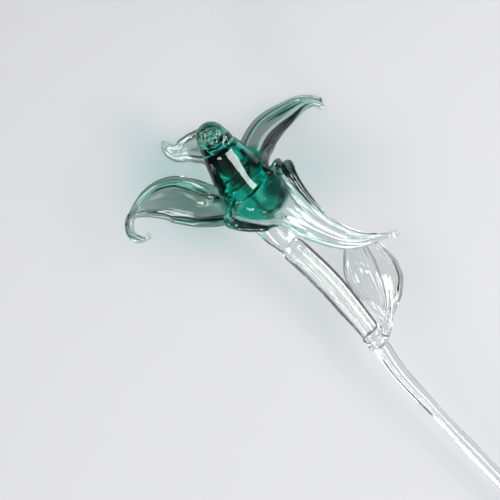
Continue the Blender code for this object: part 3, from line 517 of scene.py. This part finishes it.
# The bud is a cone that runs smoothly into a large ball at its base and a small one at its tip, so its
# radius is the ball's own cosine at each end. The share taken off the radius is flute * cos(flats *
# angle) for the flats pressed round it, plus a bell for the neck under the tip, less small waves for the
# dents. The tip's underside is crumpled by the sum of three sines. Where the tip faces up it is pressed:
# its height is held, by a soft minimum, to a flat disc with a bell for the raised ring and the same sines
# in its middle.
def budSurface(bud, rings=180, sides=160):
    axis = np.array(bud["axis"])
    length = np.linalg.norm(axis)
    axis = axis / length
    base, tip = bud["baseRadius"], bud["tipRadius"]
    lean = np.arcsin((base - tip) / length)
    third, nearPole = rings // 3, np.pi / 2 - 0.02  # radians, just short of the pole
    baseArc = np.linspace(-nearPole, lean, third)
    tipArc = np.linspace(lean, nearPole, third)
    t = np.linspace(0, 1, third + 2)[1:-1]
    coneRise = base * np.sin(lean) * (1 - t) + (length + tip * np.sin(lean)) * t
    rise = np.concatenate([base * np.sin(baseArc), coneRise, length + tip * np.sin(tipArc)])[:, None]
    coneRadius = (base * (1 - t) + tip * t) * np.cos(lean)
    radius = np.concatenate([base * np.cos(baseArc), coneRadius, tip * np.cos(tipArc)])
    turn = np.linspace(0.0, 2 * np.pi, sides, endpoint=False)
    first = unit(np.cross(axis, [0.0, 0.0, 1.0]))
    second = np.cross(axis, first)
    circle = np.cos(turn)[:, None] * first + np.sin(turn)[:, None] * second
    strength = (smoothStep(rise, 0.0, bud["flatsGrowOver"])
                * smoothStep(-rise, -length, -length + bud["flatsFadeOver"]))
    fluteTurn = turn - np.radians(bud["facing"]) + bud["twist"] * rise
    flute = bud["flute"] * strength * np.cos(bud["flats"] * fluteTurn)
    neck = bud["neck"] * bell(rise, length - bud["neckBack"], bud["neckWidth"])
    slow, crossing, swing = [np.sin(perMm * rise + perTurn * turn + start)
                             for perMm, perTurn, start in bud["dentWaves"]]
    dents = bud["dents"] * strength * (slow + crossing) * swing
    reach = radius[:, None] * (1 - flute - neck + dents)
    spot = rise[..., None] * axis + reach[..., None] * circle
    waves = sum(np.sin(perMm * spot[..., k] + bend * np.sin(bendPerMm * spot[..., (k + 1) % 3]))
                for k, (perMm, bend, bendPerMm) in enumerate(bud["crumpleWaves"]))
    crumpleStart, crumpleFull = bud["crumpleFrom"]
    under = smoothStep(rise, length - crumpleStart, length - crumpleFull)
    under = under * smoothStep(-circle[:, 2], *bud["crumpleFaces"])
    reach = reach + bud["crumple"] * waves * under
    grid = rise[..., None] * axis + reach[..., None] * circle
    face = unit(np.array(bud["discFaces"]))
    fromTip = grid - length * axis
    height = fromTip @ face
    outward = np.linalg.norm(fromTip - height[..., None] * face, axis=-1)
    top = bud["discHeight"] + bud["discRing"] * bell(outward, bud["discRadius"], bud["discRingWidth"])
    top = top + bud["discWaves"] * waves * (1 - smoothStep(outward, *bud["discWavesEnd"]))
    soft, mostPower = bud["discSoftness"], 40  # beyond this power of e the soft minimum is the plain one
    pressed = top - soft * np.log1p(np.exp(np.clip((top - height) / soft, -mostPower, mostPower)))
    discStart, discFull = bud["discFrom"]
    share = smoothStep(rise, length - discStart, length - discFull)
    grid = grid + ((pressed - height) * share)[..., None] * face
    along = np.broadcast_to((rise + base) / (length + base + tip), reach.shape)
    return grid, along, np.broadcast_to(np.cos(turn), reach.shape)


# Teal borosilicate glass, thick and solid, so that it is deep green under a hard white gloss. Lengths are
# in mm. Each pair says where something starts and where it is full, or gone: crumpleFrom and discFrom
# count back from the middle of the tip's ball, discWavesEnd counts out from the disc's middle, and
# crumpleFaces is how far down the skin faces, as a cosine.
bud = {
    "axis": (26.5, -2.0, 9.9), "baseRadius": 13.0, "tipRadius": 6.3,
    "flats": 6, "flute": 0.02, "flatsGrowOver": 8.0, "flatsFadeOver": 5.0,
    "facing": 120.0, "twist": 0.01,  # degrees, and radians per mm
    "neck": 0.06, "neckBack": 4.6, "neckWidth": 1.2,
    "dents": 0.002, "dentWaves": [(0.55, 2, 0.0), (0.8, -3, 1.0), (0.3, 1, 0.0)],  # per mm, per turn, start
    "crumple": 0.13, "crumpleFrom": (5.5, 3.5), "crumpleFaces": (-0.1, 0.4),
    "crumpleWaves": [(2.9, 1.3, 2.3), (3.3, 1.7, 2.1), (3.1, 1.1, 2.7)],  # per mm, bend, bend per mm
    "discFaces": (0.0, 0.0, 1.0), "discHeight": 4.0, "discRadius": 4.6, "discFrom": (6.0, 4.6),
    "discRing": 0.55, "discRingWidth": 0.55, "discSoftness": 0.2,
    "discWaves": 0.11, "discWavesEnd": (2.5, 4.0),
    "colours": [(0.0, "#88f6ea"), (0.70, "#88f6ea"), (0.80, "#80ece0"), (0.86, "#6a9078"),
                (1.0, "#62846c")],
    # painted shade: a dark line down one side of the tip
    "strandsAndPaintedLight": [([(0.80, -0.97, 0.10), (0.97, -0.97, 0.14)], "#1d4038", 0.8)],
    "size": (46.0, 12.0), "ior": 1.5, "shade": "#e8f7f4", "body": "#00f3ee", "depth": 120.0,
    "glass": "tealFlameworkedGlass", "slot": "teal_glass",
}

# The dark core is a prism of a few flat sides under the tip, on a thin round tail that reaches the stem.
# The rows give the distance along the bud's axis, the half width there, and how flat the sides are, from
# 0 for round to 1. It moves over by the shift as it rises. It is deep teal glass, fused in, so it has no
# gloss of its own. Its density is so high that it shows as a nearly black body: painted shade, which
# darkens the bud's middle where the bud would show shade.
core = {
    "rows": [(-12.2, 0.7, 0.0), (4.0, 0.7, 0.0), (10.5, 1.8, 0.6), (13.0, 3.2, 1.0), (19.5, 3.7, 1.0),
             (21.5, 3.1, 1.0)],
    "sides": 5, "facing": 22.5, "startRadius": 0.6, "endRadius": 0.6,  # facing in degrees
    "shift": (0.5, 0.75, 0.0), "shiftOver": (0.0, 12.0),
    "colours": [(0.0, "#f8fffc"), (1.0, "#f8fffc")], "strandsAndPaintedLight": [],
    "size": (34.0, 4.0), "ior": 1.0,  # fused to the bud's glass, so its skin doesn't bend or mirror light
    # painted shade: this density makes the core nearly black
    "shade": "#d8f2e8", "body": "#007c6c", "depth": 650.0,
    "glass": "deepTealFusedGlass", "slot": "deep_teal_glass",
}


# A round section carried along the axis, with its radius divided by the cosine of the angle from the
# middle of the nearest side, which makes the side flat.
def coreSurface(core, bud, rings=90, sides=100):
    axis = np.array(bud["axis"]) / np.linalg.norm(bud["axis"])
    rise = np.linspace(core["rows"][0][0], core["rows"][-1][0], rings)
    wide, flatness = easeRows(core["rows"], rise).T[:, :, None]
    turn = np.linspace(0.0, 2 * np.pi, sides, endpoint=False)
    side = 2 * np.pi / core["sides"]
    flat = np.cos(side / 2) / np.cos((turn + np.radians(core["facing"])) % side - side / 2)
    close = roundEnd(np.minimum((rise - rise[0]) / core["startRadius"],
                                (rise[-1] - rise) / core["endRadius"]))[:, None]
    reach = wide * close * (1 + flatness * (flat - 1))
    first = unit(np.cross(axis, [0.0, 0.0, 1.0]))
    second = np.cross(axis, first)
    circle = np.cos(turn)[:, None] * first + np.sin(turn)[:, None] * second
    grid = rise[:, None, None] * axis + reach[..., None] * circle
    grid = grid + smoothStep(rise, *core["shiftOver"])[:, None, None] * np.array(core["shift"])
    share = np.linspace(0.0, 1.0, rings)[:, None]
    return grid, np.broadcast_to(share, reach.shape), np.broadcast_to(np.cos(turn), reach.shape)


# Rings of points in millimetres, with rings joined to rings and each end closed to its own middle point.
# A piece may have several such skins. The glass's colour, with the painted shade and painted highlights in
# it, the place along and the place across become attributes of the points.
def closedSkin(name, skins, look, move):
    points, faces, alongs, acrosses, start = [], [], [], [], 0
    for grid, along, across in skins:
        rings, sides = grid.shape[:2]
        ring, step = np.arange(rings - 1)[:, None] * sides, np.arange(sides)
        after = (step + 1) % sides
        quads = np.stack([ring + step, ring + after, ring + sides + after, ring + sides + step], axis=-1)
        first, last, top = rings * sides, rings * sides + 1, (rings - 1) * sides
        caps = np.concatenate([np.stack([after, step, np.full(sides, first)], axis=-1),
                               np.stack([top + step, top + after, np.full(sides, last)], axis=-1)])
        skin = withPoles(grid)
        quads = quads.reshape(-1, 4)
        halves = np.concatenate([quads[:, :3], quads[:, [0, 2, 3]], caps])
        outwards = 1 if volumeInside(skin, halves) > 0 else -1
        faces += (quads[:, ::outwards] + start).tolist() + (caps[:, ::outwards] + start).tolist()
        points.append(skin)
        alongs.append(withPoles(along[..., None])[:, 0])
        acrosses.append(withPoles(across[..., None])[:, 0])
        start += rings * sides + 2
    points, along, across = np.concatenate(points), np.concatenate(alongs), np.concatenate(acrosses)
    mesh = bpy.data.meshes.new(name)
    mesh.from_pydata((move(points) * mm).tolist(), [], faces)
    tint = np.concatenate([tintAndPaintedLightOf(look, along, across), np.ones((len(points), 1))], axis=1)
    for label, kind, key, values in [("along", "FLOAT", "value", along),
                                     ("across", "FLOAT", "value", across),
                                     ("tint", "FLOAT_COLOR", "color", tint)]:
        mesh.attributes.new(label, kind, "POINT").data.foreach_set(key, values.ravel().astype(np.float32))
    mesh.shade_smooth()
    mesh.update()
    piece = bpy.data.objects.new(name, mesh)
    bpy.context.scene.collection.objects.link(piece)
    return piece


# The rows of a grid as one list, followed by the middle of the first ring and of the last.
def withPoles(values):
    rows = values.reshape(-1, values.shape[-1])
    return np.concatenate([rows, values[0].mean(axis=0)[None], values[-1].mean(axis=0)[None]])


# Volume enclosed by triangles, by the divergence theorem: it is positive when they point outwards.
def volumeInside(points, triangles):
    a, b, c = points[triangles].transpose(1, 0, 2)
    return np.sum(a * np.cross(b, c)) / 6


# Adds one node with its settings, its plain inputs and its links.
def addNode(tree, kind, settings={}, inputs={}, links={}):
    node = tree.nodes.new(kind)
    for key, value in settings.items():
        setattr(node, key, value)
    for key, value in inputs.items():
        node.inputs[key].default_value = value
    for key, source in links.items():
        tree.links.new(source, node.inputs[key])
    return node


# Sizes in mm. The cords are finer in life, and drawn as wide as they need to show.
glassMaking = {
    "cordLength": 30.0, "cordWidth": 0.8, "cordShade": 0.88, "cordNoise": (0.35, 0.65),
    "waveLength": 4.5, "waveHeight": 0.2, "waveStrength": 0.10,
}


# Borosilicate glass, worked by hand in the flame, which leaves it polished: roughness 0, IOR 1.5, and a
# bright sharp gloss over clear depth. Drawing it out leaves fine cords that run along the piece as
# slightly darker lines, and the flame leaves slow waves that bend the highlights. The piece's length and
# half width turn the cords' size into the scale of a pattern on its place along and across. Lamps shine
# through the glass, so that its shadow on the table is light and tinted.
def glassMaterial(name, look):
    material = bpy.data.materials.new(name)
    material.use_nodes = True
    tree = material.node_tree
    tree.nodes.clear()
    tint = addNode(tree, "ShaderNodeAttribute", {"attribute_name": "tint"})
    along = addNode(tree, "ShaderNodeAttribute", {"attribute_name": "along"})
    across = addNode(tree, "ShaderNodeAttribute", {"attribute_name": "across"})
    stretched = addNode(tree, "ShaderNodeCombineXYZ",
                        links={"X": along.outputs["Fac"], "Y": across.outputs["Fac"]})
    length, halfWidth = look["size"]
    cordScale = (length / glassMaking["cordLength"], halfWidth / glassMaking["cordWidth"], 1.0)
    spread = addNode(tree, "ShaderNodeMapping", inputs={"Scale": cordScale},
                     links={"Vector": stretched.outputs[0]})
    cords = addNode(tree, "ShaderNodeTexNoise", inputs={"Scale": 1.0, "Detail": 2.0},
                    links={"Vector": spread.outputs[0]})
    faint, strong = glassMaking["cordNoise"]
    shadeOfCord = addNode(tree, "ShaderNodeMapRange",
                          inputs={"From Min": faint, "From Max": strong,
                                  "To Min": glassMaking["cordShade"], "To Max": 1.0},
                          links={"Value": cords.outputs["Fac"]})
    colour = addNode(tree, "ShaderNodeMix", {"data_type": "RGBA", "blend_type": "MULTIPLY"}, {0: 1.0},
                     {6: tint.outputs["Color"], 7: shadeOfCord.outputs["Result"]})
    place = addNode(tree, "ShaderNodeTexCoord")
    waves = addNode(tree, "ShaderNodeTexNoise",
                    inputs={"Scale": 1.0 / (glassMaking["waveLength"] * mm), "Detail": 1.0},
                    links={"Vector": place.outputs["Object"]})
    bump = addNode(tree, "ShaderNodeBump",
                   inputs={"Strength": glassMaking["waveStrength"],
                           "Distance": glassMaking["waveHeight"] * mm},
                   links={"Height": waves.outputs["Fac"]})
    shine = addNode(tree, "ShaderNodeBsdfPrincipled",
                    inputs={"Roughness": 0.0, "IOR": look["ior"], "Transmission Weight": 1.0},
                    links={"Base Color": colour.outputs[2], "Normal": bump.outputs[0]})
    path = addNode(tree, "ShaderNodeLightPath")
    clear = addNode(tree, "ShaderNodeBsdfTransparent", inputs={"Color": linear(look["shade"])})
    mix = addNode(tree, "ShaderNodeMixShader",
                  links={0: path.outputs["Is Shadow Ray"], 1: shine.outputs[0], 2: clear.outputs[0]})
    body = addNode(tree, "ShaderNodeVolumeAbsorption",
                   inputs={"Color": linear(look["body"]), "Density": look["depth"]})
    addNode(tree, "ShaderNodeOutputMaterial", links={"Surface": mix.outputs[0], "Volume": body.outputs[0]})
    return material


# A petal's rim is a rod of its own. Its place along the petal runs evenly between the two given, and its
# place across lies beyond the petal's own, from 1.2 at its one side over 1.3 on top to 1.4 at its other.
def rimSurface(rim, across=1.3, spread=0.1):
    grid, share, sideways = rodSurface(rim)
    start, stop = rim["along"]
    return grid, start + (stop - start) * share, across + spread * sideways


# Each piece by the CAD node that it stands for: its dictionary and its skins.
pieces = {
    "bud": (bud, [budSurface(bud)]),
    "petal_front": (frontPetal, [bladeSurface(frontPetal), rimSurface(frontPetal["rim"])]),
    "petal_left": (leftPetal, [bladeSurface(leftPetal)]),
    "petal_upper": (upperPetal, [bladeSurface(upperPetal), rimSurface(upperPetal["rim"])]),
    "petal_back": (backPetal, [bladeSurface(backPetal)]),
    "leaf": (leaf, [bladeSurface(leaf)]),
    "collar": (collar, [rodSurface(collar)]),
    "stem_upper": (upperStem, [rodSurface(upperStem)]),
    "joint": (joint, [rodSurface(joint)]),
    "stem_lower": (lowerStem, [rodSurface(lowerStem, rings=220)]),
    "bud_core": (core, [coreSurface(core, bud)]),
}
everyPoint = np.concatenate([grid.reshape(-1, 3) for _, skins in pieces.values() for grid, _, _ in skins])
low, high = everyPoint.min(axis=0), everyPoint.max(axis=0)
cadLow, cadHigh = np.array(cadBox) / mm
inside = 0.02  # mm by which the shapes stay inside the box
fit = np.minimum(1.0, (cadHigh - cadLow - inside) / (high - low))


# The middle of the shapes goes to the middle of the CAD box, and along each side on which they are longer
# than the box they are drawn in to fit it.
def placeInFrame(points):
    return (points - (low + high) / 2) * fit + (cadLow + cadHigh) / 2


print("surfaces worked out for", len(pieces), "pieces; share of their size kept", fit.round(4))

for node, (look, skins) in pieces.items():
    piece = closedSkin(node + "_glass", skins, look, placeInFrame)
    piece.data.materials.append(glassMaterial(look["glass"] + "_" + node, look))
    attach(piece, "root")
    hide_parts(node)
    print("made", piece.name, "with", len(piece.data.polygons), "faces")

heart = placeInFrame(np.zeros(3)) * mm

# The camera looks straight down. These are its right and its up on the table.
cameraRight, cameraUp = np.array([-0.647, -0.763, 0.0]), np.array([0.763, -0.647, 0.0])
floorPaper = {"size": 6.0, "colour": "#b0b0b3", "roughness": 0.9}  # size in metres


# A square of pale paper under the flower. It is rough, so it shows no gloss.
def floorSheet():
    mesh = bpy.data.meshes.new("floor")
    half = floorPaper["size"] / 2
    corners = [(-half, -half, 0), (half, -half, 0), (half, half, 0), (-half, half, 0)]
    mesh.from_pydata(corners, [], [(0, 1, 2, 3)])
    sheet = bpy.data.objects.new("floor", mesh)
    bpy.context.scene.collection.objects.link(sheet)
    material = bpy.data.materials.new("mattPalePaper")
    material.use_nodes = True
    shader = material.node_tree.nodes["Principled BSDF"]
    shader.inputs["Base Color"].default_value = linear(floorPaper["colour"])
    shader.inputs["Roughness"].default_value = floorPaper["roughness"]
    mesh.materials.append(material)


# A rectangular lamp, aimed at the flower. right and up say how far its direction leans that way from
# straight above: way = right * cameraRight + up * cameraUp + straight up. Its power is glow * area * pi.
def windowLight(name, right, up, distance, width, height, glow):
    lamp = bpy.data.lights.new(name, "AREA")
    lamp.shape, lamp.size, lamp.size_y = "RECTANGLE", width, height
    lamp.energy = glow * width * height * np.pi
    holder = bpy.data.objects.new(name, lamp)
    bpy.context.scene.collection.objects.link(holder)
    way = right * cameraRight + up * cameraUp + np.array([0.0, 0.0, 1.0])
    way = way / np.linalg.norm(way)
    holder.location = heart + way * distance
    holder.visible_camera = False
    holder.rotation_euler = Vector(way).to_track_quat("Z", "Y").to_euler()


floorSheet()
lampDistance = 0.7  # metres
# right, up, the lamp's width and height in metres, and its glow, which is the light that it shows
lamps = {
    "windowRight": (0.58, 0.22, 0.36, 0.26, 13.5), "windowLeft": (-0.70, -0.26, 0.28, 0.36, 10.5),
    "windowStem": (0.86, -0.24, 0.20, 0.28, 13.5), "windowLow": (-0.15, -2.2, 0.30, 0.14, 13.5),
}
for name, (right, up, width, height, glow) in lamps.items():
    windowLight(name, right, up, lampDistance, width, height, glow)
print("floor and", len(lamps), "lamps in place")

# The room is dim at the horizon and brighter overhead, which gives the glass its dark edges. Each row is
# a height, from 0 at the horizon to 1 overhead, and the light there.
room = [(0.0, (0.05, 0.052, 0.055, 1)), (0.3, (0.08, 0.082, 0.086, 1)), (1.0, (0.22, 0.225, 0.235, 1))]
world = bpy.data.worlds.new("studio")
bpy.context.scene.world = world
world.use_nodes = True
sky = world.node_tree
direction = addNode(sky, "ShaderNodeTexCoord")
parts = addNode(sky, "ShaderNodeSeparateXYZ", links={0: direction.outputs["Generated"]})
fade = addNode(sky, "ShaderNodeValToRGB", links={0: parts.outputs["Z"]})
steps = fade.color_ramp.elements  # it starts with one at 0 and one at 1
steps[0].color, steps[1].color = room[0][1], room[-1][1]
for height, light in room[1:-1]:
    steps.new(height).color = light
sky.links.new(fade.outputs[0], sky.nodes["Background"].inputs["Color"])
sky.nodes["Background"].inputs["Strength"].default_value = 1.0

view = {"lens": 108.0, "sensor": 36.0, "fromHeart": (-17.13, 15.05, 600.0)}  # mm
lens = bpy.data.cameras.new("camera")
lens.lens, lens.sensor_width = view["lens"], view["sensor"]
camera = bpy.data.objects.new("camera", lens)
bpy.context.scene.collection.objects.link(camera)
camera.location = heart + np.array(view["fromHeart"]) * mm
camera.rotation_euler = (0.0, 0.0, np.arctan2(cameraRight[1], cameraRight[0]))
bpy.context.scene.camera = camera
print("room and camera in place")

# Light may pass through many walls of glass. The glass takes no part in focusing lamps onto the table,
# because its shadow is already drawn by its own material.
wallsOfGlass = 24
scene = bpy.context.scene
scene.view_settings.view_transform = "Standard"
scene.cycles.max_bounces = wallsOfGlass
scene.cycles.transmission_bounces = wallsOfGlass
scene.cycles.transparent_max_bounces = wallsOfGlass
scene.cycles.caustics_refractive = False
scene.cycles.caustics_reflective = False
